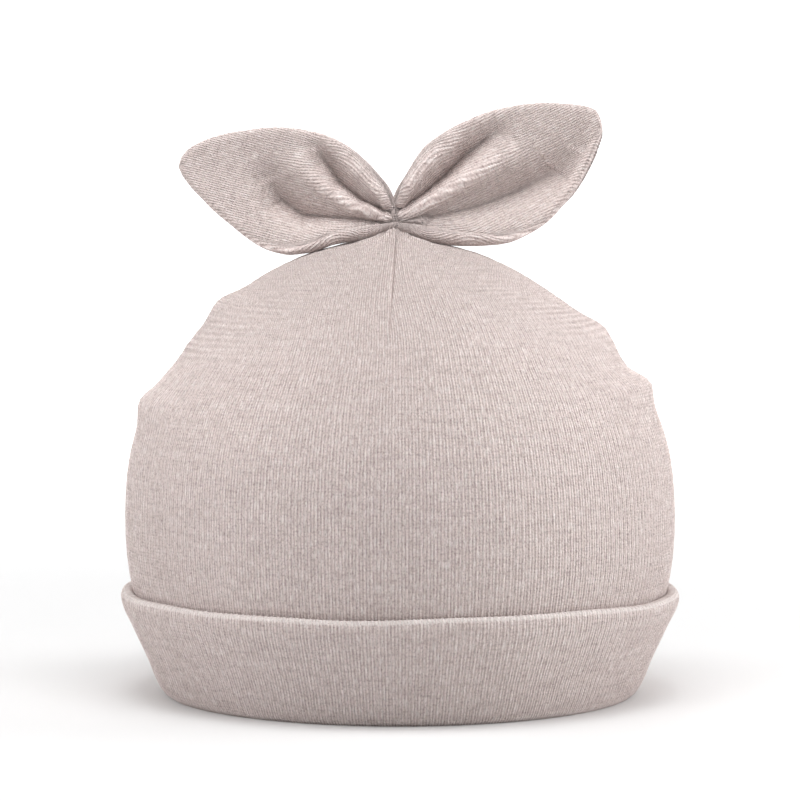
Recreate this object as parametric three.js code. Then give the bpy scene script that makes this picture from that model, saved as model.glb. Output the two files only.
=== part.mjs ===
// A baby hat with ears, sewn from fine rib-knit cotton. Four pieces: a domed crown of one layer, a cuff of two layers
// that is turned up around it, and two leaf-shaped ears that are pinched together on top.
//
// Millimetres, +Z up. The hat stands on its rim at z = 0 and its front faces -Y, so +X is on the right of someone
// who looks at the front. The frame's origin is the middle of the rim, on the surface that it stands on.

import * as THREE from "three";

const { degToRad, lerp, smoothstep } = THREE.MathUtils;

// ---------------------------------------------------------------- driving dimensions

const LAYER = 1.0; // one layer of the knit
const CUFF_THICKNESS = 2.3; // two layers and the air between them
const GAP = 0.4; // between two pieces that touch on the real hat
const FACETS_AROUND = 44; // of the crown and the cuff
const FACETS_ACROSS_EAR = 11; // on each face of an ear
const FOLD_CLEARANCE = 0.4; // inside the roll of an ear's lower edge

const PINCH = new THREE.Vector3(-1.5, 0.6, 108); // where both ears are gathered to a point
const LEAN = { starts: 78, ends: 98 }; // heights between which the crown's middle moves over to the pinch

// The crown's outside. Each row is a level: half its width and depth, and how many rings lead up to the next row.
const CROWN_LEVELS = [
  { height: 2.3, halfWidth: 52.9, halfDepth: 58.6, rings: 1 },
  { height: 8, halfWidth: 55.2, halfDepth: 61.2, rings: 1 },
  { height: 16, halfWidth: 58.8, halfDepth: 65.0, rings: 1 },
  { height: 24, halfWidth: 61.4, halfDepth: 67.8, rings: 2 },
  { height: 40, halfWidth: 63.1, halfDepth: 69.6, rings: 2 },
  { height: 57, halfWidth: 61.4, halfDepth: 67.8, rings: 3 },
  { height: 66, halfWidth: 58.1, halfDepth: 64.4, rings: 3 },
  { height: 74, halfWidth: 53.3, halfDepth: 59.6, rings: 3 },
  { height: 81, halfWidth: 47.8, halfDepth: 53.4, rings: 3 },
  { height: 88, halfWidth: 40.4, halfDepth: 44.8, rings: 2 },
  { height: 93, halfWidth: 33.9, halfDepth: 36.8, rings: 2 },
  { height: 97.5, halfWidth: 26.4, halfDepth: 27.4, rings: 1 },
  { height: 101, halfWidth: 18.2, halfDepth: 17.6, rings: 1 },
  { height: 103.1, halfWidth: 9.0, halfDepth: 8.0, rings: 1 },
  { height: 104.4, halfWidth: 0, halfDepth: 0 },
];

// Soft folds in the crown's wall. Angle is from the front, positive towards +X. Reach is how far a fold runs around
// the crown, in degrees, and tall how far it spreads up and down. A positive rise stands out of the wall.
const CROWN_FOLDS = [
  { angle: -90, height: 66, reach: 30, tall: 3.4, rise: 1.9 },
  { angle: -90, height: 76, reach: 24, tall: 3.0, rise: -0.5 },
  { angle: -86, height: 88.5, reach: 34, tall: 3.0, rise: 1.7 },
  { angle: 90, height: 70, reach: 32, tall: 3.0, rise: 1.9 },
  { angle: 88, height: 75.5, reach: 26, tall: 2.4, rise: -0.8 },
  { angle: 86, height: 83, reach: 30, tall: 3.0, rise: 1.4 },
  { angle: 160, height: 72, reach: 40, tall: 4.0, rise: 0.8 },
  { angle: -150, height: 82, reach: 34, tall: 3.6, rise: 0.8 },
];

// The cuff's section: height, and distance outwards from the crown's outside at that height. It runs up the outer
// face, over the rolled top edge, down beside the crown and under the crown's lower edge.
const CUFF_OUTER = GAP + CUFF_THICKNESS;
const CUFF_SECTION = [
  { height: 0, out: 1.7 },
  { height: 0.7, out: 2.35 },
  { height: 2.3, out: CUFF_OUTER },
  { height: 8, out: CUFF_OUTER },
  { height: 16, out: CUFF_OUTER },
  { height: 21, out: CUFF_OUTER },
  { height: 22.8, out: GAP + 0.8 * CUFF_THICKNESS },
  { height: 23.6, out: GAP + 0.5 * CUFF_THICKNESS },
  { height: 22.8, out: GAP + 0.2 * CUFF_THICKNESS },
  { height: 21, out: GAP },
  { height: 16, out: GAP },
  { height: 8, out: GAP },
  { height: 2.3, out: GAP },
  { height: 2.3 - GAP, out: 0 },
  { height: 2.3 - GAP, out: -LAYER },
  { height: 1.0, out: -1.5 },
  { height: 0, out: -0.9 },
];

// The outlines of the ears, measured from the pinch: how far out and how high each section's top and bottom are.
// Below its bottom the section curls forwards through curl degrees, and flap is what stands straight after the curl.
// Half is half the thickness of the two layers that the ear is sewn from.
const LEFT_EAR = [
  { topOut: 0.2, top: 2.4, bottomOut: 0.2, bottom: -1.5, half: 0.5, curl: 180, flap: 0.1 },
  { topOut: 0.5, top: 5.1, bottomOut: 2.0, bottom: -2.2, half: 0.7, curl: 180, flap: 0.3 },
  { topOut: 1.3, top: 7.6, bottomOut: 4.2, bottom: -3.1, half: 0.9, curl: 180, flap: 0.4 },
  { topOut: 3.0, top: 10.4, bottomOut: 6.9, bottom: -4.1, half: 1.1, curl: 180, flap: 0.8 },
  { topOut: 6.0, top: 13.8, bottomOut: 10.5, bottom: -4.6, half: 1.1, curl: 180, flap: 0.7 },
  { topOut: 10.0, top: 17.2, bottomOut: 14.5, bottom: -5.4, half: 1.1, curl: 175, flap: 0.4 },
  { topOut: 14.5, top: 19.6, bottomOut: 18.2, bottom: -6.8, half: 1.1, curl: 165, flap: 0.2 },
  { topOut: 19.5, top: 21.1, bottomOut: 21.5, bottom: -7.4, half: 1.1, curl: 135, flap: 0.3 },
  { topOut: 25.0, top: 21.8, bottomOut: 25.0, bottom: -7.7, half: 1.1, curl: 95, flap: 0.4 },
  { topOut: 30.0, top: 21.7, bottomOut: 29.4, bottom: -6.5, half: 1.1, curl: 45, flap: 0.5 },
  { topOut: 34.5, top: 21.1, bottomOut: 33.7, bottom: -3.7, half: 1.1, curl: 15, flap: 0.5 },
  { topOut: 38.5, top: 20.4, bottomOut: 37.5, bottom: -0.6, half: 1.1, curl: 5, flap: 0.5 },
  { topOut: 42.0, top: 19.4, bottomOut: 40.8, bottom: 2.1, half: 1.1, curl: 5, flap: 0.5 },
  { topOut: 45.0, top: 18.1, bottomOut: 43.8, bottom: 5.1, half: 1.1, curl: 5, flap: 0.5 },
  { topOut: 47.4, top: 16.6, bottomOut: 46.4, bottom: 7.8, half: 1.1, curl: 5, flap: 0.5 },
  { topOut: 48.9, top: 14.8, bottomOut: 48.5, bottom: 10.5, half: 0.8, curl: 5, flap: 0.5 },
];
const RIGHT_EAR = [
  { topOut: 0.2, top: 2.4, bottomOut: 0.2, bottom: -1.5, half: 0.5, curl: 180, flap: 0.1 },
  { topOut: 0.5, top: 5.0, bottomOut: 2.5, bottom: -2.5, half: 0.7, curl: 180, flap: 0.7 },
  { topOut: 1.3, top: 7.6, bottomOut: 5.8, bottom: -3.7, half: 0.9, curl: 180, flap: 1.4 },
  { topOut: 2.6, top: 10.2, bottomOut: 9.5, bottom: -4.7, half: 1.1, curl: 180, flap: 1.5 },
  { topOut: 4.4, top: 13.6, bottomOut: 13.5, bottom: -5.3, half: 1.1, curl: 180, flap: 1.6 },
  { topOut: 7.2, top: 17.4, bottomOut: 17.5, bottom: -5.5, half: 1.1, curl: 175, flap: 1.0 },
  { topOut: 11.5, top: 20.6, bottomOut: 21.5, bottom: -5.4, half: 1.1, curl: 170, flap: 0.6 },
  { topOut: 17.0, top: 23.5, bottomOut: 25.0, bottom: -5.1, half: 1.1, curl: 130, flap: 0.4 },
  { topOut: 22.5, top: 25.6, bottomOut: 28.2, bottom: -4.5, half: 1.1, curl: 80, flap: 0.5 },
  { topOut: 28.0, top: 26.8, bottomOut: 31.5, bottom: -2.8, half: 1.1, curl: 35, flap: 0.5 },
  { topOut: 33.5, top: 27.4, bottomOut: 35.0, bottom: -0.4, half: 1.1, curl: 15, flap: 0.5 },
  { topOut: 38.5, top: 27.3, bottomOut: 38.4, bottom: 3.1, half: 1.1, curl: 5, flap: 0.5 },
  { topOut: 42.5, top: 26.9, bottomOut: 41.6, bottom: 7.1, half: 1.1, curl: 5, flap: 0.5 },
  { topOut: 45.2, top: 26.3, bottomOut: 44.1, bottom: 11.3, half: 1.1, curl: 5, flap: 0.5 },
  { topOut: 46.9, top: 25.2, bottomOut: 46.0, bottom: 15.4, half: 1.1, curl: 5, flap: 0.5 },
  { topOut: 47.8, top: 23.2, bottomOut: 47.4, bottom: 18.9, half: 0.8, curl: 5, flap: 0.5 },
];
const LEFT_TIP = { out: 49.5, up: 12.6 };
const RIGHT_TIP = { out: 48.1, up: 21.0 };

// The pleats that run out from the pinch, as straight creases between two points of the ear's outline plane. A
// positive depth pushes the cloth back, and a negative one lifts a ridge towards the front.
const LEFT_PLEATS = [
  { fromOut: 2, from: 2.6, toOut: 11.8, to: 9.0, spread: 2.6, depth: 2.0 },
  { fromOut: 11.8, from: 9.0, toOut: 15.0, to: 16.5, spread: 2.8, depth: 1.6 },
  { fromOut: 6, from: 1.0, toOut: 20.0, to: 2.0, spread: 2.8, depth: 1.8 },
  { fromOut: 20, from: 2.0, toOut: 27.5, to: 10.0, spread: 3.6, depth: 2.4 },
  { fromOut: 4, from: 1.6, toOut: 19.0, to: 12.5, spread: 2.6, depth: -1.2 },
];
const RIGHT_PLEATS = [
  { fromOut: 2, from: 3.0, toOut: 9.5, to: 9.5, spread: 2.4, depth: 1.8 },
  { fromOut: 9.5, from: 9.5, toOut: 21.5, to: 19.5, spread: 2.6, depth: 2.2 },
  { fromOut: 10, from: 2.0, toOut: 24.0, to: 6.5, spread: 3.2, depth: 1.6 },
  { fromOut: 24, from: 6.0, toOut: 38.0, to: 10.5, spread: 4.2, depth: 2.2 },
  { fromOut: 4, from: 2.6, toOut: 25.0, to: 14.5, spread: 2.4, depth: -1.1 },
];
const EAR_LEAN_BACK = 2.2; // how far an ear's top edge leans behind its bottom edge, each way from the middle
const EAR_HOLLOW = 2.4; // how far an ear's middle lies behind its edges

// ---------------------------------------------------------------- helpers

// A bell curve: 1 where distance is 0, and nearly 0 two spreads away.
const bell = (distance, spread) => Math.exp(-((distance / spread) ** 2));

// A closed body over a chain of rings. All rings have as many points, and a ring of a single point closes its end.
// A chain with no such points goes round: its last ring joins its first.
function bodyOver(rings) {
  const around = Math.max(...rings.map((ring) => ring.length));
  const goesRound = rings[0].length > 1;
  const starts = rings.map((_, i) => rings.slice(0, i).reduce((sum, ring) => sum + ring.length, 0));
  const vertex = (i, k) => starts[i] + (rings[i].length > 1 ? k % around : 0);
  const faces = [];
  for (let i = 0; i < rings.length - (goesRound ? 0 : 1); i++) {
    const next = (i + 1) % rings.length;
    for (let k = 0; k < around; k++) {
      if (rings[i].length > 1) faces.push(vertex(i, k), vertex(i, k + 1), vertex(next, k));
      if (rings[next].length > 1) faces.push(vertex(i, k + 1), vertex(next, k + 1), vertex(next, k));
    }
  }
  return new THREE.BufferGeometry().setFromPoints(rings.flat()).setIndex(faces);
}

// ---------------------------------------------------------------- crown

const crownProfile = new THREE.CatmullRomCurve3(
  CROWN_LEVELS.map((level) => new THREE.Vector3(level.halfWidth, level.halfDepth, level.height)),
);

// One level of the crown's outside, at row i of the table and a share of the way to the next row. Outwards is the
// wall's direction there: its first number is horizontal, and its second is up.
function crownLevel(i, share = 0) {
  const t = (i + share) / (CROWN_LEVELS.length - 1);
  const tangent = crownProfile.getTangent(t);
  const slope = new THREE.Vector2((tangent.x + tangent.y) / 2, tangent.z).normalize();
  const { x: halfWidth, y: halfDepth, z: height } = crownProfile.getPoint(t);
  return { halfWidth, halfDepth, height, outwards: new THREE.Vector2(slope.y, -slope.x) };
}

function foldRise(angle, height) {
  let rise = 0;
  for (const fold of CROWN_FOLDS) {
    const turn = Math.atan2(Math.sin(angle - degToRad(fold.angle)), Math.cos(angle - degToRad(fold.angle)));
    rise += fold.rise * bell(turn, degToRad(fold.reach)) * bell(height - fold.height, fold.tall);
  }
  return rise;
}

// The points around one level, moved by offset along the wall's outward direction.
function crownRing(level, offset) {
  const { halfWidth, halfDepth, height, outwards } = level;
  const middle = PINCH.x * smoothstep(height, LEAN.starts, LEAN.ends);
  return Array.from({ length: FACETS_AROUND }, (_, k) => {
    const angle = (2 * Math.PI * k) / FACETS_AROUND;
    const moved = offset * outwards.x + foldRise(angle, height);
    return new THREE.Vector3(
      middle + (halfWidth + moved) * Math.sin(angle),
      -(halfDepth + moved) * Math.cos(angle),
      height + offset * outwards.y,
    );
  });
}

function crown() {
  const levels = CROWN_LEVELS.flatMap((row, i) =>
    Array.from({ length: row.rings ?? 0 }, (_, n) => crownLevel(i, n / row.rings)),
  );
  const apex = CROWN_LEVELS.at(-1).height;
  const inside = levels.map((level) => crownRing(level, -LAYER)).reverse();
  const outside = levels.map((level) => crownRing(level, 0));
  return bodyOver([
    [new THREE.Vector3(PINCH.x, 0, apex - 1.1 * LAYER)],
    ...inside,
    ...outside,
    [new THREE.Vector3(PINCH.x, 0, apex)],
  ]);
}

// ---------------------------------------------------------------- cuff

// The crown's half width and half depth at a height in the straight stretch that the cuff goes around.
function crownBeside(height) {
  const above = CROWN_LEVELS.findIndex((row) => row.height > Math.max(height, CROWN_LEVELS[0].height));
  const [low, high] = [CROWN_LEVELS[above - 1], CROWN_LEVELS[above]];
  const share = (height - low.height) / (high.height - low.height);
  return {
    height,
    halfWidth: lerp(low.halfWidth, high.halfWidth, share),
    halfDepth: lerp(low.halfDepth, high.halfDepth, share),
    outwards: new THREE.Vector2(1, 0),
  };
}

function cuff() {
  return bodyOver(CUFF_SECTION.map((row) => crownRing(crownBeside(row.height), row.out)));
}

// ---------------------------------------------------------------- ears

// How far the ear's cloth lies behind the pinch, at a place on it given from 0 to 1 along and up the ear.
function earDepth(out, up, along, upShare, pleats) {
  const belly = Math.sin(Math.PI * Math.min(1, along));
  let depth = belly * (EAR_LEAN_BACK * (2 * upShare - 1) + EAR_HOLLOW * Math.sin(Math.PI * upShare));
  for (const pleat of pleats) {
    const line = new THREE.Line3(
      new THREE.Vector3(pleat.fromOut, pleat.from, 0),
      new THREE.Vector3(pleat.toOut, pleat.to, 0),
    );
    const place = new THREE.Vector3(out, up, 0);
    const nearest = line.closestPointToPoint(place, true, new THREE.Vector3());
    depth += pleat.depth * bell(nearest.distanceTo(place), pleat.spread);
  }
  return depth;
}

// The middle line of an ear's section, from the free edge of its rolled lower edge, round the roll and up to its top.
class EarSection extends THREE.Curve {
  constructor(row, along, side, pleats) {
    super();
    Object.assign(this, { row, along, side, pleats });
    this.bottom = new THREE.Vector2(row.bottomOut, row.bottom);
    this.chord = new THREE.Vector2(row.topOut, row.top).sub(this.bottom);
    this.radius = row.half + FOLD_CLEARANCE;
    this.curl = degToRad(row.curl);
    const reach =
      row.curl > 90 ? this.radius : this.radius * Math.sin(this.curl) + row.flap * Math.cos(this.curl);
    this.rollEnds = reach + row.half * Math.min(1, row.curl / 90); // where the roll meets the upright stretch
  }

  // Distance up the chord and distance forwards, at u from 0 on the free edge to 1 at the top.
  place(u) {
    const { radius, curl, rollEnds } = this;
    const stretches = [this.row.flap, radius * curl, this.chord.length() - rollEnds];
    let s = u * (stretches[0] + stretches[1] + stretches[2]) - stretches[0] - stretches[1];
    if (s >= 0) return [rollEnds + s, 0];
    const turned = Math.min(-s / radius, curl);
    s = -s - turned * radius;
    return [
      rollEnds - radius * Math.sin(turned) - s * Math.cos(turned),
      radius * (1 - Math.cos(turned)) + s * Math.sin(turned),
    ];
  }

  getPoint(u, target = new THREE.Vector3()) {
    const [upChord, forwards] = this.place(u);
    const share = upChord / this.chord.length();
    const { x: out, y: up } = this.chord.clone().multiplyScalar(share).add(this.bottom);
    const fade = smoothstep(upChord, 0, 3 * this.radius);
    const depth = earDepth(out, up, this.along, share, forwards > 0 ? [] : this.pleats);
    const still = earDepth(out, up, this.along, share, []);
    return target.set(
      PINCH.x + this.side * out,
      PINCH.y - forwards + lerp(still, depth, fade),
      PINCH.z + up,
    );
  }
}

// The closed loop around one section: up its front face and down its back face, with round edges.
function earRing(section) {
  const length = section.getLength();
  const half = section.row.half;
  const across = section.chord.clone().normalize();
  const faces = [-1, 1].map((face) => {
    const loop = [];
    for (let k = 0; k < FACETS_ACROSS_EAR; k++) {
      const step = face < 0 ? k : k + 1;
      const u = (1 - Math.cos((Math.PI * step) / FACETS_ACROSS_EAR)) / 2;
      const fromEdge = Math.min(length * Math.min(u, 1 - u), half);
      const thickness = Math.sqrt(half ** 2 - (half - fromEdge) ** 2);
      const tangent = section.getTangentAt(u);
      const upwards = tangent.x * section.side * across.x + tangent.z * across.y;
      const normal = new THREE.Vector3(-tangent.y * section.side * across.x, upwards, -tangent.y * across.y);
      loop.push(section.getPointAt(u).addScaledVector(normal.normalize(), face * thickness));
    }
    return loop;
  });
  return [...faces[0], ...faces[1].reverse()];
}

function ear(rows, tip, pleats, side) {
  const sections = rows.map((row) => {
    const along = (row.topOut + row.bottomOut) / 2 / tip.out;
    return new EarSection(row, along, side, pleats);
  });
  const rings = sections.map(earRing);
  const base = rings[0].reduce((sum, p) => sum.add(p), new THREE.Vector3()).divideScalar(rings[0].length);
  const end = new THREE.Vector3(PINCH.x + side * tip.out, PINCH.y, PINCH.z + tip.up);
  const chain = [[base], ...rings, [end]];
  return bodyOver(side > 0 ? chain.reverse() : chain);
}

// ---------------------------------------------------------------- the hat

const COLOURS = { knit: "#dccdc7", cuffKnit: "#d6c6c0" };

function piece(name, geometry, colour) {
  const material = new THREE.MeshStandardMaterial({ color: colour, roughness: 0.95, metalness: 0, flatShading: true });
  const mesh = new THREE.Mesh(geometry, material);
  mesh.name = name;
  return mesh;
}

const hat = new THREE.Group();
hat.add(
  piece("crown", crown(), COLOURS.knit),
  piece("cuff", cuff(), COLOURS.cuffKnit),
  piece("ear_left", ear(LEFT_EAR, LEFT_TIP, LEFT_PLEATS, -1), COLOURS.knit),
  piece("ear_right", ear(RIGHT_EAR, RIGHT_TIP, RIGHT_PLEATS, 1), COLOURS.knit),
);

export default hat;
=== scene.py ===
# %% [markdown]
# # A baby hat with ears in fine rib knit
#
# The hat is sewn from one cotton knit. A domed crown is darted to a point on top, its lower edge is turned up
# into a cuff, and two leaf-shaped ears are gathered and sewn down on the point. The frame holds these four pieces
# as plain solids. This lesson makes the cloth that stands for each of them.

import bpy
import numpy as np
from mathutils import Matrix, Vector


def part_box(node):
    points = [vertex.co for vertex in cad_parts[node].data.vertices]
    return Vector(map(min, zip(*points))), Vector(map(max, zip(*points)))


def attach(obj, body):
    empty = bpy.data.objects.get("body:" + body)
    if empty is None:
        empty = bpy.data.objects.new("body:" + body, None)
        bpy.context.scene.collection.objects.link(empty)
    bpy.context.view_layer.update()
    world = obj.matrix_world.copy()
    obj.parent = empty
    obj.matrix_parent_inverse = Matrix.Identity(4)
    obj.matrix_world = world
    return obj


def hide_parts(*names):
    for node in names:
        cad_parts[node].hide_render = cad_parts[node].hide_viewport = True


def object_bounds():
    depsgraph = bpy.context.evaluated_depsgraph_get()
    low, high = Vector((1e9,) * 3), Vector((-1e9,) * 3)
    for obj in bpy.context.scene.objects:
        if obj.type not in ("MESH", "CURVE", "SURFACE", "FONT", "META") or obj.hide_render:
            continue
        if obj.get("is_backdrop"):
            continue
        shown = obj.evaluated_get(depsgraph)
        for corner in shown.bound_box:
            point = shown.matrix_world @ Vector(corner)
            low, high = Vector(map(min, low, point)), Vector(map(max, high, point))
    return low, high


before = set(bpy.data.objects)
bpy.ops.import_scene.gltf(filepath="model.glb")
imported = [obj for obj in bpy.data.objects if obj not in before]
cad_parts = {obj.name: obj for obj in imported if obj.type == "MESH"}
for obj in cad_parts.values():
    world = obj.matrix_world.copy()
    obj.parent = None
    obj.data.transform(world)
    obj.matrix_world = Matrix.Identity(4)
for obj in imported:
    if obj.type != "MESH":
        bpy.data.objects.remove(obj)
frame_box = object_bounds()
MM = 0.001  # metres in a millimetre: shapes are worked out in millimetres and stored in metres
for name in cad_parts:
    low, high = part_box(name)
    print(f"{name}: {[round(side / MM, 1) for side in high - low]} mm")

# %% [markdown]
# ## The camera and the studio
#
# Cloth shows its folds in soft light that comes from the sides and from above. A round white sweep keeps the
# surroundings plain from every side, and also throws light back up into the hat, as a light tent does. The camera
# is far away and long, so that the hat is drawn nearly without perspective.

# %% Camera
CAMERA_AT = (0.0, -0.75, 0.101)
CAMERA_AIM = (0.0, 0.0, 0.067)

camera = bpy.data.objects.new("camera", bpy.data.cameras.new("camera"))
bpy.context.collection.objects.link(camera)
camera.location = CAMERA_AT
camera.rotation_euler = (Vector(CAMERA_AIM) - Vector(CAMERA_AT)).to_track_quat("-Z", "Y").to_euler()
camera.data.sensor_width = 36
camera.data.lens = 146.5
bpy.context.scene.camera = camera
bpy.context.scene.view_settings.view_transform = "Standard"
print(f"camera {np.linalg.norm(np.subtract(CAMERA_AT, CAMERA_AIM)):.2f} m away")


# %% Lights
def softbox(name, at, size, watts):
    """A square area light of that size, turned to face the middle of the hat."""
    light = bpy.data.objects.new(name, bpy.data.lights.new(name, "AREA"))
    bpy.context.collection.objects.link(light)
    light.location = at
    light.rotation_euler = (Vector(CAMERA_AIM) - Vector(at)).to_track_quat("-Z", "Y").to_euler()
    light.data.size = size
    light.data.energy = watts
    light.visible_camera = False


softbox("light_top", at=(0.0, -0.15, 0.42), size=0.30, watts=1.65)
softbox("light_left", at=(-0.85, 0.12, 0.16), size=0.5, watts=3.6)
softbox("light_right", at=(0.85, 0.12, 0.16), size=0.5, watts=6.1)
softbox("light_behind", at=(0.0, 0.95, 0.45), size=0.8, watts=2.0)

# %% [markdown]
# ## Cloth as a grid
#
# Every piece of the hat is a skin of rings. The points of a ring run around the piece, and the rings follow each
# other over it, so a whole piece is one numpy array with a row for each ring. Faces join each ring to the next.
# A pole closes an end to a point, and a skin without poles joins its last ring to its first.
#
# Each face also carries its place in the cloth, as a UV in millimetres: u across the ribs and v along them. A
# sewn seam is where two panels of cloth meet, so u may jump there, and each face has a u of its own for its left
# and its right side.


# %% Small curves
def smoothstep(low, high, x):
    """0 below low, 1 above high, and 3t^2 - 2t^3 between, where t is the share of the way from low to high."""
    t = np.clip((x - low) / (high - low), 0, 1)
    return t * t * (3 - 2 * t)


def bell(distance, spread):
    """exp(-(distance / spread)^2): 1 at distance 0, and nearly 0 two spreads away."""
    return np.exp(-((distance / spread) ** 2))


def through(places, values, at):
    """A smooth curve through the values at rising places: cubic pieces that share a slope where they meet."""
    values = np.asarray(values, float)
    slopes = np.gradient(values, places, axis=0)
    i = np.clip(np.searchsorted(places, at, side="right") - 1, 0, len(places) - 2)
    span = np.asarray(places)[i + 1] - np.asarray(places)[i]
    t = (at - np.asarray(places)[i]) / span
    if values.ndim > 1:
        t, span = t[..., None], span[..., None]
    rise = values[i + 1] - values[i]
    bend = (1 - t) * (slopes[i] * span - rise) - t * (slopes[i + 1] * span - rise)
    return values[i] + t * rise + t * (1 - t) * bend


def lengths_along(points):
    """The distance from the first point to each point, along the line that joins them."""
    steps = np.linalg.norm(np.diff(points, axis=0), axis=-1)
    return np.concatenate([[0], np.cumsum(steps)])


# %% A skin of rings
def skin(name, rings, left_uv, right_uv, poles=None, hollows=None):
    """A mesh over rings of shape (rows, points, 3) in millimetres. A face spans two points and two rows.
    The UVs have a row for each ring, and one more where the last ring joins the first, which is where there are
    no poles. hollows is a value from 0 to 1 for each point, for how deep it lies between two ribs; it is stored as
    between_ribs, and the material paints shade into the colour by it."""
    rows, around = rings.shape[:2]
    left = np.arange(rows * around).reshape(rows, around)
    if poles is None:
        left = np.vstack([left, left[:1]])
    right = np.roll(left, -1, axis=1)
    quads = np.stack([left[:-1], right[:-1], right[1:], left[1:]], axis=-1).reshape(-1, 4)
    quad_uv = np.stack([left_uv[:-1], right_uv[:-1], right_uv[1:], left_uv[1:]], axis=-2).reshape(-1, 2)
    points, faces, uv = [rings.reshape(-1, 3)], quads.tolist(), [quad_uv]
    if poles is not None:
        first, last = rows * around, rows * around + 1
        points.append(np.asarray(poles, float))
        faces += [(first, r, l) for l, r in zip(left[0].tolist(), right[0].tolist())]
        faces += [(last, l, r) for l, r in zip(left[-1].tolist(), right[-1].tolist())]
        uv.append(np.stack([left_uv[0], right_uv[0], left_uv[0]], axis=-2).reshape(-1, 2))
        uv.append(np.stack([left_uv[-1], left_uv[-1], right_uv[-1]], axis=-2).reshape(-1, 2))
    mesh = bpy.data.meshes.new(name)
    mesh.from_pydata(np.vstack(points) * MM, [], faces)
    layer = mesh.uv_layers.new(name="cloth")
    layer.data.foreach_set("uv", np.vstack(uv).astype(np.float32).ravel())
    depth = np.zeros(len(mesh.vertices), np.float32)
    if hollows is not None:
        depth[: rows * around] = hollows.ravel()
    # between_ribs carries painted shade for the material: between ribs and in seam grooves; on the cuff's fold it
    # goes below 0 for a painted highlight
    mesh.attributes.new("between_ribs", "FLOAT", "POINT").data.foreach_set("value", depth)
    mesh.shade_smooth()
    piece = bpy.data.objects.new(name, mesh)
    bpy.context.collection.objects.link(piece)
    print(f"{name}: {len(mesh.polygons)} faces, {sum(p.area for p in mesh.polygons) * 1e4:.0f} cm2")
    return piece


# %% [markdown]
# ## The ribs
#
# A 1x1 rib knit has a round ridge, the knit stitch, beside a hollow, the purl stitch turned away. Here the ridge
# repeats every 1.57 mm on the stretched crown. Inside each hollow a second, much lower ridge shows. The ribs are
# real shape, because they catch the light along the whole hat and roll over the cuff's edge. Single stitches are
# half as wide as a rib and are left to the material.

# %% Rib relief
RIB_PITCH = 1.57
RIBS_AROUND = 264
POINTS_PER_RIB = 6
RIDGE = 0.06  # millimetres above and below the middle of the cloth
LOW_RIDGE = 0.07


def rib_relief(ribs):
    """Millimetres of relief where ribs counts ridges across the cloth: a cosine with one crest for each rib, and
    a lower cosine with two."""
    return RIDGE * np.cos(2 * np.pi * ribs) + LOW_RIDGE * np.cos(4 * np.pi * ribs)


def between_ribs(ribs):
    """1 in the hollow between two ridges and 0 on a ridge."""
    return 0.5 - 0.5 * np.cos(2 * np.pi * ribs)


angles = 2 * np.pi * np.arange(RIBS_AROUND * POINTS_PER_RIB) / (RIBS_AROUND * POINTS_PER_RIB)
print(f"{RIBS_AROUND} ribs around, {len(angles)} points in a ring")

# %% [markdown]
# ## The crown
#
# The crown is a dome of one layer. Seen from the front it is as wide as a baby's head, and from the side a little
# deeper. Its outline is a short table of levels, joined by a smooth curve, and each level is an ellipse. Over the
# outline lie three kinds of small shape: soft folds at the sides, the seams and darts that draw the dome together,
# and the ribs.

# %% The crown's levels
PINCH = np.array([-1.5, 0.6, 108.0])  # the point where the ears are gathered, millimetres
LEVELS = np.array([
    # height, half width, half depth
    (2.3, 52.9, 58.6),
    (8.0, 55.2, 61.2),
    (16.0, 58.8, 65.0),
    (24.0, 61.4, 67.8),
    (40.0, 63.1, 69.6),
    (57.0, 61.4, 67.8),
    (66.0, 58.1, 64.4),
    (74.0, 53.3, 59.6),
    (81.0, 47.8, 53.4),
    (88.0, 40.4, 44.8),
    (93.0, 33.9, 36.8),
    (97.5, 26.4, 27.4),
    (101.0, 18.2, 17.6),
    (103.2, 9.6, 8.6),
    (104.8, 4.0, 3.8),
    (106.6, 1.6, 1.6),
])  # fmt: skip
LEVEL_LENGTHS = lengths_along(np.column_stack([LEVELS[:, 0], LEVELS[:, 1:].mean(axis=1)]))
CROWN_LENGTH = LEVEL_LENGTHS[-1]
low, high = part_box("crown")
print(f"crown profile {CROWN_LENGTH:.0f} mm long, half width {LEVELS[:, 1].max()} mm,"
      f" {(high.x - low.x) / 2 / MM:.1f} mm in the frame")

# %% Folds, darts and seams in the crown
FOLDS = np.array([
    # angle, height, reach in degrees, tall, rise
    (-90, 66.0, 30, 3.4, 1.9),
    (-90, 76.0, 24, 3.0, -0.5),
    (-86, 88.5, 34, 3.0, 1.7),
    (90, 70.0, 32, 3.0, 1.9),
    (88, 75.5, 26, 2.4, -0.8),
    (86, 83.0, 30, 3.0, 1.4),
    (160, 72.0, 40, 4.0, 0.8),
    (-150, 82.0, 34, 3.6, 0.8),
    (-38, 60.0, 22, 9.0, 0.35),
    (24, 52.0, 26, 10.0, -0.30),
    (52, 34.0, 24, 8.0, 0.35),
    (-16, 36.0, 20, 8.0, -0.25),
])  # fmt: skip
DART_LOW = 83.0  # height where the front and back darts end
DART_LEAN = (-2.3, -0.7)  # where the front dart's low end and its top lie, sideways
RIBS_INTO_DART = 2.4


def turn_between(angle, other):
    """The shorter way round from one angle to the other, with its sign."""
    return np.arctan2(np.sin(angle - other), np.cos(angle - other))


def fold_rise(angle, height):
    """The sum of all folds, each a bell around the crown times a bell up it."""
    rise = np.zeros(np.broadcast(angle, height).shape)
    for at, middle, reach, tall, depth in FOLDS:
        turn = turn_between(angle, np.radians(at))
        rise += depth * bell(turn, np.radians(reach)) * bell(height - middle, tall)
    return rise


def middle_at(height):
    """How far the crown's middle has moved sideways to meet the pinch."""
    return PINCH[0] * smoothstep(78, 98, height)


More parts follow.
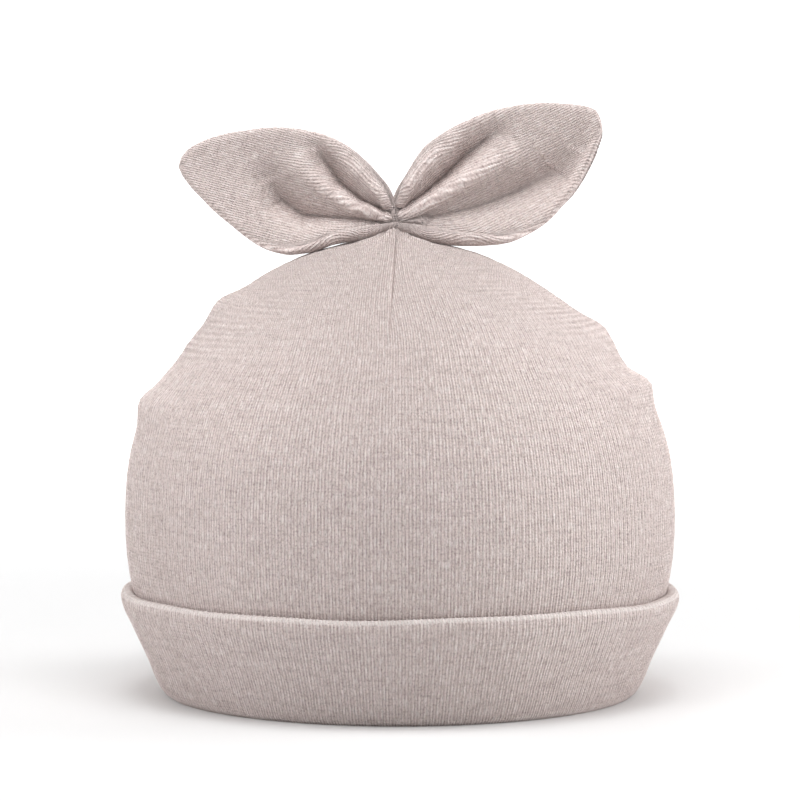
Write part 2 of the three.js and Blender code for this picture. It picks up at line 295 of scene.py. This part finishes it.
def dart_distance(angle, level):
    """Millimetres sideways from the dart's line, at the front and at the back alike."""
    height, half_width, _ = level
    share = (height - DART_LOW) / (LEVELS[-1, 0] - DART_LOW)
    front = DART_LEAN[0] + (DART_LEAN[1] - DART_LEAN[0]) * share - middle_at(height)
    line = np.where(np.cos(angle) > 0, front, 0.0)
    return half_width * np.sin(angle) - line


def ribs_at(angle, level, back):
    """Ribs counted from the middle of the front or back panel. Above the widest level the cloth narrows to 0.6 of
    its pitch, and the side seams cut off the ribs that no longer fit. A dart takes in a few more on each side."""
    height, half_width, half_depth = level
    share = (half_width + half_depth) / (LEVELS[:, 1] + LEVELS[:, 2]).max()
    count = np.where(height < 50, RIBS_AROUND, RIBS_AROUND * np.minimum(1, share / (0.6 + 0.4 * share**3)))
    turn = turn_between(angle, np.pi if back else 0.0)
    side = np.sign(dart_distance(angle, level)) * np.where(np.cos(angle) > 0, 1, -1)
    return turn * count / (2 * np.pi) + side * RIBS_INTO_DART * smoothstep(DART_LOW, LEVELS[-1, 0], height)


def seam_relief(angle, level):
    """A narrow groove along each dart and side seam, with the cloth rolling into it from both sides, and a shallow
    dimple where a dart ends."""
    height, _, half_depth = level
    dart = np.abs(dart_distance(angle, level))
    in_dart = smoothstep(DART_LOW - 1.0, DART_LOW + 3.0, height)
    side = np.abs(half_depth * np.cos(angle))
    relief = in_dart * (0.08 * bell(dart - 0.9, 0.5) - 0.65 * bell(dart, 0.22))
    relief += 0.15 * bell(side - 1.3, 0.8) - 0.40 * bell(side, 0.45)
    return relief - 0.45 * bell(dart, 3.5) * bell(height - DART_LOW, 4.0)


# %% The crown's surface
LAYER = 1.0  # thickness of the knit


def crown_ring_grid(lengths, offset, relief=1.0):
    """Ellipses at the given lengths up the profile, moved by offset and relief along the profile's normal."""
    level = through(LEVEL_LENGTHS, LEVELS, lengths)
    slope = np.gradient(level, lengths, axis=0)
    out = np.column_stack([slope[:, 0], -slope[:, 1:].mean(axis=1)])
    out /= np.linalg.norm(out, axis=1, keepdims=True)
    columns = [column[:, None] for column in level.T]
    height, half_width, half_depth = columns
    front = ribs_at(angles, columns, back=False)
    back = ribs_at(angles, columns, back=True)
    ribs = np.where(np.cos(angles) > 0, front, back)
    fade = smoothstep(0, 6, CROWN_LENGTH - lengths)[:, None]
    gathers = 0.45 * np.cos(13 * angles) * bell(CROWN_LENGTH - lengths - 5, 4.5)[:, None]
    moved = offset + fold_rise(angles, height)
    moved = moved + relief * (rib_relief(ribs) * fade + seam_relief(angles, columns) * fade + gathers)
    rings = np.stack([
        middle_at(height) + (half_width + moved * out[:, :1]) * np.sin(angles),
        -(half_depth + moved * out[:, :1]) * np.cos(angles),
        height + moved * out[:, 1:],
    ], axis=-1)  # fmt: skip
    # painted shade: the seam grooves and the dart's dimple are added to between_ribs, which darkens them in the
    # material
    sunk = np.clip(-2.0 * seam_relief(angles, columns), 0, 1)
    return rings, np.maximum(between_ribs(ribs), sunk), columns


def crown_uv(lengths, columns):
    """u from the rib count on either side of each face, v the length up the profile."""
    step = angles[1]
    is_back = np.cos(angles + step / 2) < 0
    sides = []
    for turn in (angles, angles + step):
        u = np.where(is_back, ribs_at(turn, columns, back=True) + 2 * RIBS_AROUND,
                     ribs_at(turn, columns, back=False))
        v = np.broadcast_to(lengths[:, None], u.shape)
        sides.append(np.stack([u * RIB_PITCH, v], axis=-1))
    return sides


outer_lengths = np.concatenate([
    np.linspace(0, 54, 12, endpoint=False),
    np.linspace(54, 112, 32, endpoint=False),
    np.linspace(112, CROWN_LENGTH, 9),
])  # fmt: skip
inner_lengths = np.linspace(CROWN_LENGTH - 4, 0.3, 9)
inside, inside_hollows, inside_columns = crown_ring_grid(inner_lengths, -LAYER, relief=-0.4)
outside, outside_hollows, outside_columns = crown_ring_grid(outer_lengths, 0.0)
crown_sides = [
    np.concatenate([a, b]) for a, b in zip(crown_uv(inner_lengths, inside_columns),
                                           crown_uv(outer_lengths, outside_columns))
]
crown = skin(
    "crown_cloth",
    np.concatenate([inside, outside]),
    *crown_sides,
    poles=[(PINCH[0], 0, LEVELS[-1, 0] - 3.6), (PINCH[0], 0, LEVELS[-1, 0] + 0.6)],
    hollows=np.concatenate([inside_hollows, outside_hollows]),
)

# %% [markdown]
# ## The cuff
#
# The cuff is the hat's edge turned up: one layer goes out from under the crown and up its outside, folds over at the
# top and comes down inside. Its section is that path, drawn as an outline of height and distance from the crown.
# The fold at the top is soft, so it wanders a little up and down and in and out as it goes around the head.

# %% The cuff's section
GAP = 0.4
CUFF_SECTION = np.array([
    # height, distance out from the crown, rows to the next point
    (0.0, 1.7, 1),
    (0.7, 2.35, 2),
    (2.3, 2.70, 4),
    (8.0, 2.78, 5),
    (16.0, 2.80, 4),
    (21.0, 2.75, 4),
    (22.7, 2.35, 3),
    (23.6, 1.60, 3),
    (23.8, 0.80, 2),
    (23.3, 0.20, 1),
    (21.5, 0.10, 1),
    (12.0, 0.10, 1),
    (4.2, 0.20, 1),
    (3.6, 0.60, 1),
    (4.2, 1.10, 1),
    (12.0, 1.30, 1),
    (21.3, 1.30, 1),
    (21.9, 1.60, 1),
    (21.0, 1.85, 1),
    (12.0, 1.80, 1),
    (3.2, 1.70, 1),
    (2.2, 0.60, 1),
    (1.9, -0.2, 1),
    (1.9, -1.0, 1),
    (1.0, -1.5, 1),
    (0.0, -0.9, 1),
])  # fmt: skip


def closed_section(table):
    """A smooth loop through the table's points, with each stretch cut into the number of rows in its last column."""
    loop = np.vstack([table[-2:, :2], table[:, :2], table[:3, :2]])
    lengths = lengths_along(loop)
    cuts = [
        lengths[i + 2] + (lengths[i + 3] - lengths[i + 2]) * np.arange(int(rows)) / rows
        for i, rows in enumerate(table[:, 2])
    ]
    at = np.concatenate(cuts)
    return through(lengths, loop, at), np.append(at, lengths[len(table) + 2]) - lengths[2]


def cuff_rings():
    """The section set around the crown: its distance out is added to the crown's ellipse at its height. The ribs
    fade out inside the fold, where nobody sees them. Over the fold's top edge the value for the material goes
    below 0, down to -1 on a row, in dashes along the ribs: a painted highlight where the fold catches the light from
    above."""
    section, run = closed_section(CUFF_SECTION)
    heights, out = section[:, :1], section[:, 1:]
    base = through(LEVELS[:, 0], LEVELS, np.clip(heights[:, 0], LEVELS[0, 0], None))
    narrow = np.minimum(heights - LEVELS[0, 0], 0) * 0.4
    outer = smoothstep(1.5, 2.4, out) * smoothstep(0.4, 2.5, heights) + smoothstep(22.3, 23.2, heights)
    top = smoothstep(14, 23, heights)
    waver = 0.28 * np.sin(3 * angles + 0.6) + 0.20 * np.sin(5 * angles - 1.1) + 0.10 * np.sin(11 * angles)
    bulge = 0.22 * np.sin(4 * angles + 2.0) * smoothstep(1, 9, heights) * (out > 0.9)
    flare = 0.5 * top * np.abs(np.sin(angles)) * (out > 0.9)
    ribs = angles * RIBS_AROUND / (2 * np.pi) + 0 * heights
    seam = -0.3 * bell(base[:, 2:] * np.cos(angles), 0.5)
    relief = np.minimum(outer, 1) * (rib_relief(ribs) + seam)
    away = out + narrow + bulge * top + flare + relief * np.sign(out - 1.0)
    lift = np.minimum(outer, 1) * smoothstep(22.6, 23.5, heights) * rib_relief(ribs)
    rings = np.stack([
        (base[:, 1:2] + away) * np.sin(angles),
        -(base[:, 2:3] + away) * np.cos(angles),
        np.maximum(heights + waver * top + lift, 0),
    ], axis=-1)  # fmt: skip
    # painted highlight: on the fold's top edge between_ribs goes below 0 in dashes, and the material lightens the
    # colour there; elsewhere on the outside it is painted shade between the ribs
    painted_fold_highlight = smoothstep(22.5, 23.2, heights) * (out > 0.4)
    rows = 0.5 + 0.5 * np.cos(4 * np.pi * ribs + 1.2 * heights)
    return rings, between_ribs(ribs) * np.minimum(outer, 1) * (1 - painted_fold_highlight) - painted_fold_highlight * rows, run


cuff_grid, cuff_hollows, cuff_run = cuff_rings()
cuff_left, cuff_right = (
    np.stack(np.broadcast_arrays(turn * RIBS_AROUND / (2 * np.pi) * RIB_PITCH, cuff_run[:, None]), axis=-1)
    for turn in (angles, angles + angles[1])
)
cuff = skin("cuff_cloth", cuff_grid, cuff_left, cuff_right, hollows=cuff_hollows)

# %% [markdown]
# ## The ears
#
# Each ear is two leaves of the knit sewn edge to edge and turned right side out, so its outline is soft and round.
# At the pinch the whole width of the leaf is gathered to a few millimetres. That draws deep pleats into it, which
# open out towards the tip, and it rolls the lower edge forwards into a lip. The ribs run the length of the leaf.
#
# An ear is a row of sections from the pinch to the tip. A section starts at the free end of the lip, goes round the
# roll and up to the top edge. The pleats then push the cloth back or lift it, by their distance from a crease.

# %% The ears' outlines
FOLD_CLEARANCE = 0.4
OUTLINE_COLUMNS = ("top out", "top", "bottom out", "bottom", "half", "curl", "flap")
LEFT_EAR = np.array([
    # top out, top, bottom out, bottom, half thickness, curl in degrees, flap
    (0.2, 2.4, 0.2, -1.5, 0.5, 180, 0.1),
    (0.5, 5.1, 2.0, -2.2, 0.7, 180, 0.3),
    (1.3, 7.6, 4.2, -3.1, 0.9, 180, 0.4),
    (3.0, 10.4, 6.9, -4.1, 1.1, 180, 0.8),
    (6.0, 13.8, 10.5, -4.6, 1.1, 180, 0.7),
    (10.0, 17.2, 14.5, -5.4, 1.1, 175, 0.4),
    (14.5, 19.6, 18.2, -6.8, 1.1, 165, 0.2),
    (19.5, 21.1, 21.5, -7.4, 1.1, 135, 0.3),
    (25.0, 21.8, 25.0, -7.7, 1.1, 95, 0.4),
    (30.0, 21.7, 29.4, -6.5, 1.1, 45, 0.5),
    (34.5, 21.1, 33.7, -3.7, 1.1, 15, 0.5),
    (38.5, 20.4, 37.5, -0.6, 1.1, 5, 0.5),
    (42.0, 19.4, 40.8, 2.1, 1.1, 5, 0.5),
    (45.0, 18.1, 43.8, 5.1, 1.1, 5, 0.5),
    (47.4, 16.6, 46.4, 7.8, 1.1, 5, 0.5),
    (48.9, 14.8, 48.5, 10.5, 0.8, 5, 0.5),
])  # fmt: skip
RIGHT_EAR = np.array([
    (0.2, 2.4, 0.2, -1.5, 0.5, 180, 0.1),
    (0.5, 5.0, 2.5, -2.5, 0.7, 180, 0.7),
    (1.3, 7.6, 5.8, -3.7, 0.9, 180, 1.4),
    (2.6, 10.2, 9.5, -4.7, 1.1, 180, 1.5),
    (4.4, 13.6, 13.5, -5.3, 1.1, 180, 1.6),
    (7.2, 17.4, 17.5, -5.5, 1.1, 175, 1.0),
    (11.5, 20.6, 21.5, -5.4, 1.1, 170, 0.6),
    (17.0, 23.5, 25.0, -5.1, 1.1, 130, 0.4),
    (22.5, 25.6, 28.2, -4.5, 1.1, 80, 0.5),
    (28.0, 26.8, 31.5, -2.8, 1.1, 35, 0.5),
    (33.5, 27.4, 35.0, -0.4, 1.1, 15, 0.5),
    (38.5, 27.3, 38.4, 3.1, 1.1, 5, 0.5),
    (42.5, 26.9, 41.6, 7.1, 1.1, 5, 0.5),
    (45.2, 26.3, 44.1, 11.3, 1.1, 5, 0.5),
    (46.9, 25.2, 46.0, 15.4, 1.1, 5, 0.5),
    (47.8, 23.2, 47.4, 18.9, 0.8, 5, 0.5),
])  # fmt: skip
LEFT_TIP = (49.5, 12.6)
RIGHT_TIP = (48.1, 21.0)

# %% The ears' pleats
# Each crease is a line through a few places of the leaf, seen from the front: out, up, spread, and depth, where a
# positive depth pushes the cloth back.
LEFT_CREASES = [
    np.array([(2.0, 2.6, 1.0, 1.5), (7.5, 5.0, 1.6, 2.8), (12.5, 9.0, 2.4, 3.2), (15.5, 14.0, 3.0, 2.2),
              (17.0, 17.5, 3.2, 0.8)]),
    np.array([(4.0, 0.4, 1.0, 1.2), (14.0, 1.0, 1.8, 2.2), (21.0, 1.6, 3.0, 3.4), (26.0, 5.0, 3.6, 3.2),
              (28.5, 10.0, 3.8, 1.2)]),
    np.array([(1.5, 1.2, 0.7, -0.6), (8.0, 3.2, 1.2, -1.3), (15.0, 7.5, 1.8, -1.5), (21.0, 13.0, 3.0, -0.8)]),
    np.array([(1.0, 3.6, 0.6, -0.5), (3.5, 7.0, 1.0, -1.0), (7.5, 11.5, 1.6, -0.9), (13.0, 16.5, 2.2, -0.4)]),
]  # fmt: skip
RIGHT_CREASES = [
    np.array([(2.0, 3.0, 1.0, 1.4), (7.0, 6.5, 1.5, 2.8), (12.0, 11.0, 2.1, 3.4), (17.0, 16.0, 2.7, 3.2),
              (23.0, 20.5, 3.2, 1.2)]),
    np.array([(9.0, 1.0, 1.4, 1.2), (20.0, 3.5, 3.0, 2.0), (29.0, 7.0, 4.2, 3.2), (38.0, 11.5, 5.0, 2.6),
              (42.0, 17.0, 4.5, 1.0)]),
    np.array([(2.0, 1.6, 0.7, -0.6), (9.0, 5.0, 1.1, -1.4), (18.0, 10.5, 1.7, -1.8), (26.0, 15.5, 3.0, -0.9)]),
    np.array([(1.2, 4.2, 0.6, -0.5), (3.6, 8.5, 1.0, -1.0), (7.5, 13.5, 1.5, -1.0), (13.0, 18.5, 2.2, -0.5)]),
]  # fmt: skip


def crease_depth(out, up, creases):
    """For each crease, the depth at the nearest place of its line times a bell of the distance to it."""
    total = np.zeros_like(out)
    for crease in creases:
        nearest = np.full(out.shape, np.inf)
        depth = np.zeros_like(out)
        for start, end in zip(crease[:-1], crease[1:]):
            along = end[:2] - start[:2]
            share = ((out - start[0]) * along[0] + (up - start[1]) * along[1]) / (along @ along)
            share = np.clip(share, 0, 1)
            gap = np.hypot(out - start[0] - share * along[0], up - start[1] - share * along[1])
            here = (start[3] + share * (end[3] - start[3])) * bell(gap, start[2] + share * (end[2] - start[2]))
            depth = np.where(gap < nearest, here, depth)
            nearest = np.minimum(nearest, gap)
        total += depth
    return total


# %% The ears' surfaces
EAR_SECTIONS = 130
POINTS_UP_EAR = 190
EAR_RIB_PITCH = 1.05
LEAN_BACK = 2.2
EAR_HOLLOW = 2.4
BASE_OVERLAP = 0.7  # how far each ear reaches into the other at the pinch
PLEAT_DEPTH = 1.9


def ear_cloth(name, outline, tip, creases, side, axis_degrees):
    """The middle of the cloth is a grid of sections by steps up the section. The two faces lie half a thickness
    either side of it along its normal, and the thickness closes in a round at both edges."""
    middles = (outline[:, :2] + outline[:, 2:4]) / 2
    places = lengths_along(middles)
    step = np.linspace(0, 1, EAR_SECTIONS)
    at = places[-1] * (0.7 * step + 0.3 * (1 - np.cos(np.pi * step)) / 2)
    rows = through(places, outline, at)
    rows[:, [0, 2]] -= BASE_OVERLAP * (1 - smoothstep(0, 4, rows[:, [0, 2]]))
    top, bottom = rows[:, None, 0:2], rows[:, None, 2:4]
    half, curl, flap = rows[:, 4:5], np.radians(rows[:, 5:6]), rows[:, 6:7]
    chord = np.linalg.norm(top - bottom, axis=-1)
    radius = half + FOLD_CLEARANCE
    reach = radius * np.sin(np.minimum(curl, np.pi / 2)) + flap * np.maximum(np.cos(curl), 0)
    roll_ends = reach + half * np.minimum(1, curl / (np.pi / 2))

    # up the section: first the flap, then the roll, then the upright stretch
    u = (1 - np.cos(np.linspace(0, np.pi, POINTS_UP_EAR))) / 2 * 0.35 + np.linspace(0, 1, POINTS_UP_EAR) * 0.65
    full = flap + radius * curl + chord - roll_ends
    run = u * full
    s = run - flap - radius * curl
    turned = np.clip(-s / radius, 0, curl)
    straight = np.maximum(-s - turned * radius, 0)
    up_chord = np.where(s >= 0, roll_ends + s,
                        roll_ends - radius * np.sin(turned) - straight * np.cos(turned))
    forwards = np.where(s >= 0, 0, radius * (1 - np.cos(turned)) + straight * np.sin(turned))

    share = up_chord / chord
    out = bottom[..., 0] + share * (top - bottom)[..., 0]
    up = bottom[..., 1] + share * (top - bottom)[..., 1]
    belly = np.sin(np.pi * np.clip(middles_along(outline, rows, tip), 0, 1))
    depth = belly * (LEAN_BACK * (2 * share - 1) + EAR_HOLLOW * np.sin(np.pi * share))
    depth += smoothstep(0, 3 * radius, up_chord) * (s >= 0) * PLEAT_DEPTH * crease_depth(out, up, creases)
    middle = np.stack([PINCH[0] + side * out, PINCH[1] - forwards + depth, PINCH[2] + up], axis=-1)

    normal = np.cross(np.gradient(middle, axis=0), np.gradient(middle, axis=1)) * -side
    normal /= np.linalg.norm(normal, axis=-1, keepdims=True)
    edge = np.minimum(np.minimum(run, full - run), half * 1.6) / (half * 1.6)
    thickness = half * np.sqrt(np.clip(1 - (1 - edge) ** 2, 0, 1))

    # ribs are counted square to the ear's own axis, and are gathered towards the pinch
    axis = np.radians(axis_degrees)
    across = np.array([-np.sin(axis), np.cos(axis)])
    direction = (top - bottom) / chord[..., None]
    flat = bottom + direction * (roll_ends + s)[..., None]
    width = flat @ across
    gather = 0.42 + 0.58 * smoothstep(1, 17, flat @ np.array([np.cos(axis), np.sin(axis)]))
    ribs = width / (EAR_RIB_PITCH * gather)
    fade = smoothstep(0, 0.8, edge)
    relief = rib_relief(ribs) * 0.10 * fade
    distance = np.hypot(out, up)
    fan = np.arctan2(up, out)
    relief += 0.28 * np.cos(16 * fan) * bell(distance - 4.5, 3.5) * (s >= 0) * fade

    front = middle - normal * (thickness + relief)[..., None]
    behind = middle + normal * (thickness + relief)[..., None]
    loop = np.concatenate([front, behind[:, ::-1]], axis=1)
    length_along = flat @ np.array([np.cos(axis), np.sin(axis)])
    cloth_u = np.concatenate([ribs, ribs[:, ::-1] + 100], axis=1) * RIB_PITCH
    cloth_v = np.concatenate([length_along, length_along[:, ::-1]], axis=1)
    uv = np.stack([cloth_u, cloth_v + 50 * (side > 0)], axis=-1)
    right_uv = np.roll(uv, -1, axis=1)
    right_uv[:, POINTS_UP_EAR - 1] = uv[:, POINTS_UP_EAR - 1]
    right_uv[:, -1] = uv[:, -1]
    # painted shade between the ear's ribs, through between_ribs
    hollows = between_ribs(np.concatenate([ribs, ribs[:, ::-1]], axis=1))
    poles = [loop[0].mean(axis=0), (PINCH[0] + side * tip[0], PINCH[1], PINCH[2] + tip[1])]
    if side > 0:
        loop, uv, right_uv, hollows, poles = loop[::-1], uv[::-1], right_uv[::-1], hollows[::-1], poles[::-1]
    return skin(name, loop, uv, right_uv, poles=poles, hollows=hollows)


def middles_along(outline, rows, tip):
    """How far along the ear each section is, as a share of the tip's distance."""
    return ((rows[:, 0] + rows[:, 2]) / 2 / tip[0])[:, None]


ear_left = ear_cloth("ear_left_cloth", LEFT_EAR, LEFT_TIP, LEFT_CREASES, side=-1, axis_degrees=15)
ear_right = ear_cloth("ear_right_cloth", RIGHT_EAR, RIGHT_TIP, RIGHT_CREASES, side=1, axis_degrees=25)

# %% [markdown]
# ## The knit as a material
#
# The yarn is a heather: fibres dyed two shades are spun together, so a course of knit, which is one yarn going
# around, shows short darker streaks. The shapes already hold the ribs. The material adds the single stitches as
# bump, the heather's streaks and flecks as colour, and the short fibres that catch light at the edges as sheen.
# It also paints shade into the colour in the hollows between ribs and stitch rows and in the seam grooves, and
# paints a highlight along the top of the cuff's fold.


# %% Adding nodes
def linear(hex_colour):
    """An sRGB hex colour as linear RGBA: each channel is divided by 12.92 below 0.04045, and raised to 2.4 above."""
    channels = np.array([int(hex_colour[i : i + 2], 16) for i in (1, 3, 5)]) / 255
    low_part, high_part = channels / 12.92, ((channels + 0.055) / 1.055) ** 2.4
    return (*np.where(channels <= 0.04045, low_part, high_part), 1.0)


def add_node(tree, kind, inputs=(), **settings):
    """Adds a node, applies its settings, and gives each named input a value or another node's output."""
    made = tree.nodes.new(kind)
    for setting, value in settings.items():
        setattr(made, setting, value)
    for socket, value in dict(inputs).items():
        if isinstance(value, bpy.types.NodeSocket):
            tree.links.new(value, made.inputs[socket])
        else:
            made.inputs[socket].default_value = value
    return made


# %% Heather rib knit
STITCH = 0.72  # millimetres from one course of stitches to the next
STREAK = (9.0, 1.3)  # length and height of a heather streak
FLECK = (1.3, 0.7)
DARK_FIBRE = (0.45, 0.50)
PALE_FIBRE = (0.35, 2.4)


def stretched_noise(tree, place, size, detail, offset):
    """Noise whose lumps are size = (across the ribs, along the ribs) millimetres."""
    scaled = add_node(tree, "ShaderNodeVectorMath", {0: place, 1: (1 / size[0], 1 / size[1], 1.0)},
                      operation="MULTIPLY")
    moved = add_node(tree, "ShaderNodeVectorMath", {0: scaled.outputs[0], 1: (offset, offset, 0)})
    noise = add_node(tree, "ShaderNodeTexNoise",
                     {"Vector": moved.outputs[0], "Scale": 1.0, "Detail": detail, "Roughness": 0.55},
                     noise_dimensions="2D")
    return noise.outputs["Fac"]


def heather_rib_knit():
    """Cotton and viscose heather yarn, knitted and brushed by wear: matt, pinkish oat, with mauve-grey fibres."""
    material = bpy.data.materials.new("heather_rib_knit_cotton")
    material.use_nodes = True
    tree = material.node_tree
    tree.nodes.clear()
    place = add_node(tree, "ShaderNodeUVMap", uv_map="cloth").outputs["UV"]
    # between_ribs: from 0 to 1 it is painted shade, below 0 a painted highlight
    hollow = add_node(tree, "ShaderNodeAttribute", attribute_name="between_ribs").outputs["Fac"]

    # painted highlight: where between_ribs is below 0, along the top of the cuff's fold
    painted_fold_highlight = add_node(tree, "ShaderNodeMath", {0: hollow, 1: -1.0}, operation="MULTIPLY", use_clamp=True)

    # every rib is two rows of stitches, so a fine hollow lies on both sides of each row
    split = add_node(tree, "ShaderNodeSeparateXYZ", {0: place})
    from_row = add_node(tree, "ShaderNodeMath", {0: split.outputs["X"], 1: RIB_PITCH / 4}, operation="PINGPONG")
    fine_hollow = add_node(tree, "ShaderNodeMath", {0: from_row.outputs[0], 1: 4 / RIB_PITCH},
                           operation="MULTIPLY").outputs[0]

    # heather: long faint streaks along the courses, flecks that gather in them, and a speckle of single fibres
    streaks = add_node(tree, "ShaderNodeMapRange",
                       {"Value": stretched_noise(tree, place, STREAK, 3.0, 0.0), "From Min": 0.46, "From Max": 0.70})
    flecks = add_node(tree, "ShaderNodeMapRange",
                      {"Value": stretched_noise(tree, place, FLECK, 2.0, 31.0), "From Min": 0.50, "From Max": 0.68})
    gathered = add_node(tree, "ShaderNodeMath", {0: streaks.outputs[0], 1: 0.7, 2: 0.3}, operation="MULTIPLY_ADD")
    # the flecks show fully in the fine hollows and at 0.4 on the rows: the heather's own flecks, with painted shade
    # in the hollows
    sunk = add_node(tree, "ShaderNodeMath", {0: fine_hollow, 1: 0.6, 2: 0.4}, operation="MULTIPLY_ADD")
    low_flecks = add_node(tree, "ShaderNodeMath", {0: gathered.outputs[0], 1: sunk.outputs[0]},
                          operation="MULTIPLY")
    heather = add_node(tree, "ShaderNodeMath", {0: flecks.outputs[0], 1: low_flecks.outputs[0]},
                       operation="MULTIPLY")
    dark_fibres = add_node(tree, "ShaderNodeMapRange",
                           {"Value": stretched_noise(tree, place, DARK_FIBRE, 2.0, 57.0), "From Min": 0.50,
                            "From Max": 0.70})
    pale_fibres = add_node(tree, "ShaderNodeMapRange",
                           {"Value": stretched_noise(tree, place, PALE_FIBRE, 2.0, 77.0), "From Min": 0.50,
                            "From Max": 0.70})
    tone = stretched_noise(tree, place, (26.0, 18.0), 2.0, 13.0)

    ground = add_node(tree, "ShaderNodeMix", {0: tone, 6: linear("#efe1dd"), 7: linear("#eadcd8")},
                      data_type="RGBA")
    colour = ground.outputs[2]
    for amount, strength, shade in (
        # painted shade: the hollows between ribs and the seam grooves
        (hollow, 0.12, "#b5a4a1"),
        # painted shade: the fine hollows between stitch rows
        (fine_hollow, 0.64, "#a8938f"),
        (streaks.outputs[0], 0.20, "#ad9a97"),
        (heather.outputs[0], 0.50, "#958280"),
        (dark_fibres.outputs[0], 0.45, "#8f7c78"),
        (pale_fibres.outputs[0], 0.42, "#fffaf7"),
        # painted highlight: the top of the cuff's fold
        (painted_fold_highlight.outputs[0], 0.80, "#fffaf7"),
    ):
        factor = add_node(tree, "ShaderNodeMath", {0: amount, 1: strength}, operation="MULTIPLY")
        mixed = add_node(tree, "ShaderNodeMix", {0: factor.outputs[0], 6: colour, 7: linear(shade)},
                         data_type="RGBA")
        colour = mixed.outputs[2]

    # bump: the rows of stitches, the slanted legs of each stitch, and loose fibres
    slant = add_node(tree, "ShaderNodeMath", {0: from_row.outputs[0], 1: 0.9, 2: split.outputs["Y"]},
                     operation="MULTIPLY_ADD")
    turns = add_node(tree, "ShaderNodeMath", {0: slant.outputs[0], 1: 2 * np.pi / STITCH}, operation="MULTIPLY")
    stitch = add_node(tree, "ShaderNodeMath", {0: turns.outputs[0]}, operation="SINE")
    fibres = stretched_noise(tree, place, (0.45, 0.40), 3.0, 5.0)
    rows = add_node(tree, "ShaderNodeMath", {0: fine_hollow, 1: -0.65, 2: fibres}, operation="MULTIPLY_ADD")
    height = add_node(tree, "ShaderNodeMath", {0: stitch.outputs[0], 1: 0.14, 2: rows.outputs[0]},
                      operation="MULTIPLY_ADD")
    bump = add_node(tree, "ShaderNodeBump", {"Height": height.outputs[0], "Strength": 1.0, "Distance": 0.42 * MM})
    shader = add_node(tree, "ShaderNodeBsdfPrincipled", {
        "Base Color": colour,
        "Roughness": 0.95,
        "Specular IOR Level": 0.25,
        "Sheen Weight": 0.15,
        "Sheen Roughness": 0.45,
        "Sheen Tint": linear("#fff4ef"),
        "Normal": bump.outputs[0],
    })  # fmt: skip
    add_node(tree, "ShaderNodeOutputMaterial", {"Surface": shader.outputs[0]})
    return material


knit = heather_rib_knit()
for piece in (crown, cuff, ear_left, ear_right):
    piece.data.materials.append(knit)

# %% [markdown]
# ## The studio sweep
#
# The surroundings are one white surface: flat where the hat stands, and turned up in a wide round curve all the way
# about it, so no corner or horizon shows from any side.

# %% Sweep
SWEEP_FLAT, SWEEP_BEND, SWEEP_WALL = 1.6, 0.7, 1.2


def studio_sweep():
    """A profile turned around Z: out along the floor, a quarter circle up, then a wall, in metres."""
    quarter = np.linspace(0, np.pi / 2, 17)
    radii = np.concatenate([[0.001, 0.8], SWEEP_FLAT + SWEEP_BEND * np.sin(quarter), [SWEEP_FLAT + SWEEP_BEND]])
    heights = np.concatenate([[0, 0], SWEEP_BEND * (1 - np.cos(quarter)), [SWEEP_BEND + SWEEP_WALL]])
    turn = np.linspace(0, 2 * np.pi, 96, endpoint=False)
    points = np.stack([radii[:, None] * np.cos(turn), radii[:, None] * np.sin(turn),
                       heights[:, None] + 0 * turn], axis=-1)
    index = np.arange(len(radii) * len(turn)).reshape(len(radii), len(turn))
    beside = np.roll(index, -1, axis=1)
    quads = np.stack([index[:-1], index[1:], beside[1:], beside[:-1]], axis=-1).reshape(-1, 4)
    mesh = bpy.data.meshes.new("studio_sweep")
    mesh.from_pydata(points.reshape(-1, 3), [], [*quads.tolist(), index[0].tolist()])
    mesh.shade_smooth()
    sweep = bpy.data.objects.new("studio_sweep", mesh)
    bpy.context.collection.objects.link(sweep)
    return sweep


def lit_paper():
    """White studio paper, matt. Away from the hat it is lit from behind, most strongly at the back, so that it
    stays white where the softboxes no longer reach it: emission grows with the distance from the middle and
    with Y."""
    material = bpy.data.materials.new("white_studio_paper")
    material.use_nodes = True
    tree = material.node_tree
    tree.nodes.clear()
    place = add_node(tree, "ShaderNodeTexCoord").outputs["Object"]
    away = add_node(tree, "ShaderNodeVectorMath", {0: place}, operation="LENGTH").outputs["Value"]
    spread = add_node(tree, "ShaderNodeMapRange", {"Value": away, "From Min": 0.05, "From Max": 1.0},
                      interpolation_type="SMOOTHSTEP")
    sides = add_node(tree, "ShaderNodeSeparateXYZ", {0: place})
    depth = add_node(tree, "ShaderNodeMapRange", {"Value": sides.outputs["Y"], "From Min": -0.9, "From Max": 0.5,
                                                  "To Min": 0.30, "To Max": 0.85})
    glow = add_node(tree, "ShaderNodeMath", {0: spread.outputs[0], 1: depth.outputs[0]}, operation="MULTIPLY")
    shader = add_node(tree, "ShaderNodeBsdfPrincipled", {
        "Base Color": linear("#dedede"),
        "Roughness": 0.9,
        "Emission Color": (1, 1, 1, 1),
        "Emission Strength": glow.outputs[0],
    })  # fmt: skip
    add_node(tree, "ShaderNodeOutputMaterial", {"Surface": shader.outputs[0]})
    return material


sweep = studio_sweep()
sweep.data.materials.append(lit_paper())
sweep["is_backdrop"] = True

world = bpy.data.worlds.new("studio")
bpy.context.scene.world = world
world.use_nodes = True
world.node_tree.nodes["Background"].inputs["Color"].default_value = (1, 1, 1, 1)
world.node_tree.nodes["Background"].inputs["Strength"].default_value = 0.06

# %% [markdown]
# ## Joining the cloth to the frame
#
# Nothing on the hat is jointed, so every piece rides on the one body. Each piece of cloth takes the place of the
# plain solid of the frame.

# %% Ride and replace
for piece, node in ((crown, "crown"), (cuff, "cuff"), (ear_left, "ear_left"), (ear_right, "ear_right")):
    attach(piece, "root")
    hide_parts(node)

# %% Sizes
visual_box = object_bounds()
for name, box in (("frame", frame_box), ("visual model", visual_box)):
    print(f"{name}: {[round(side / MM, 1) for side in box[1] - box[0]]} mm")
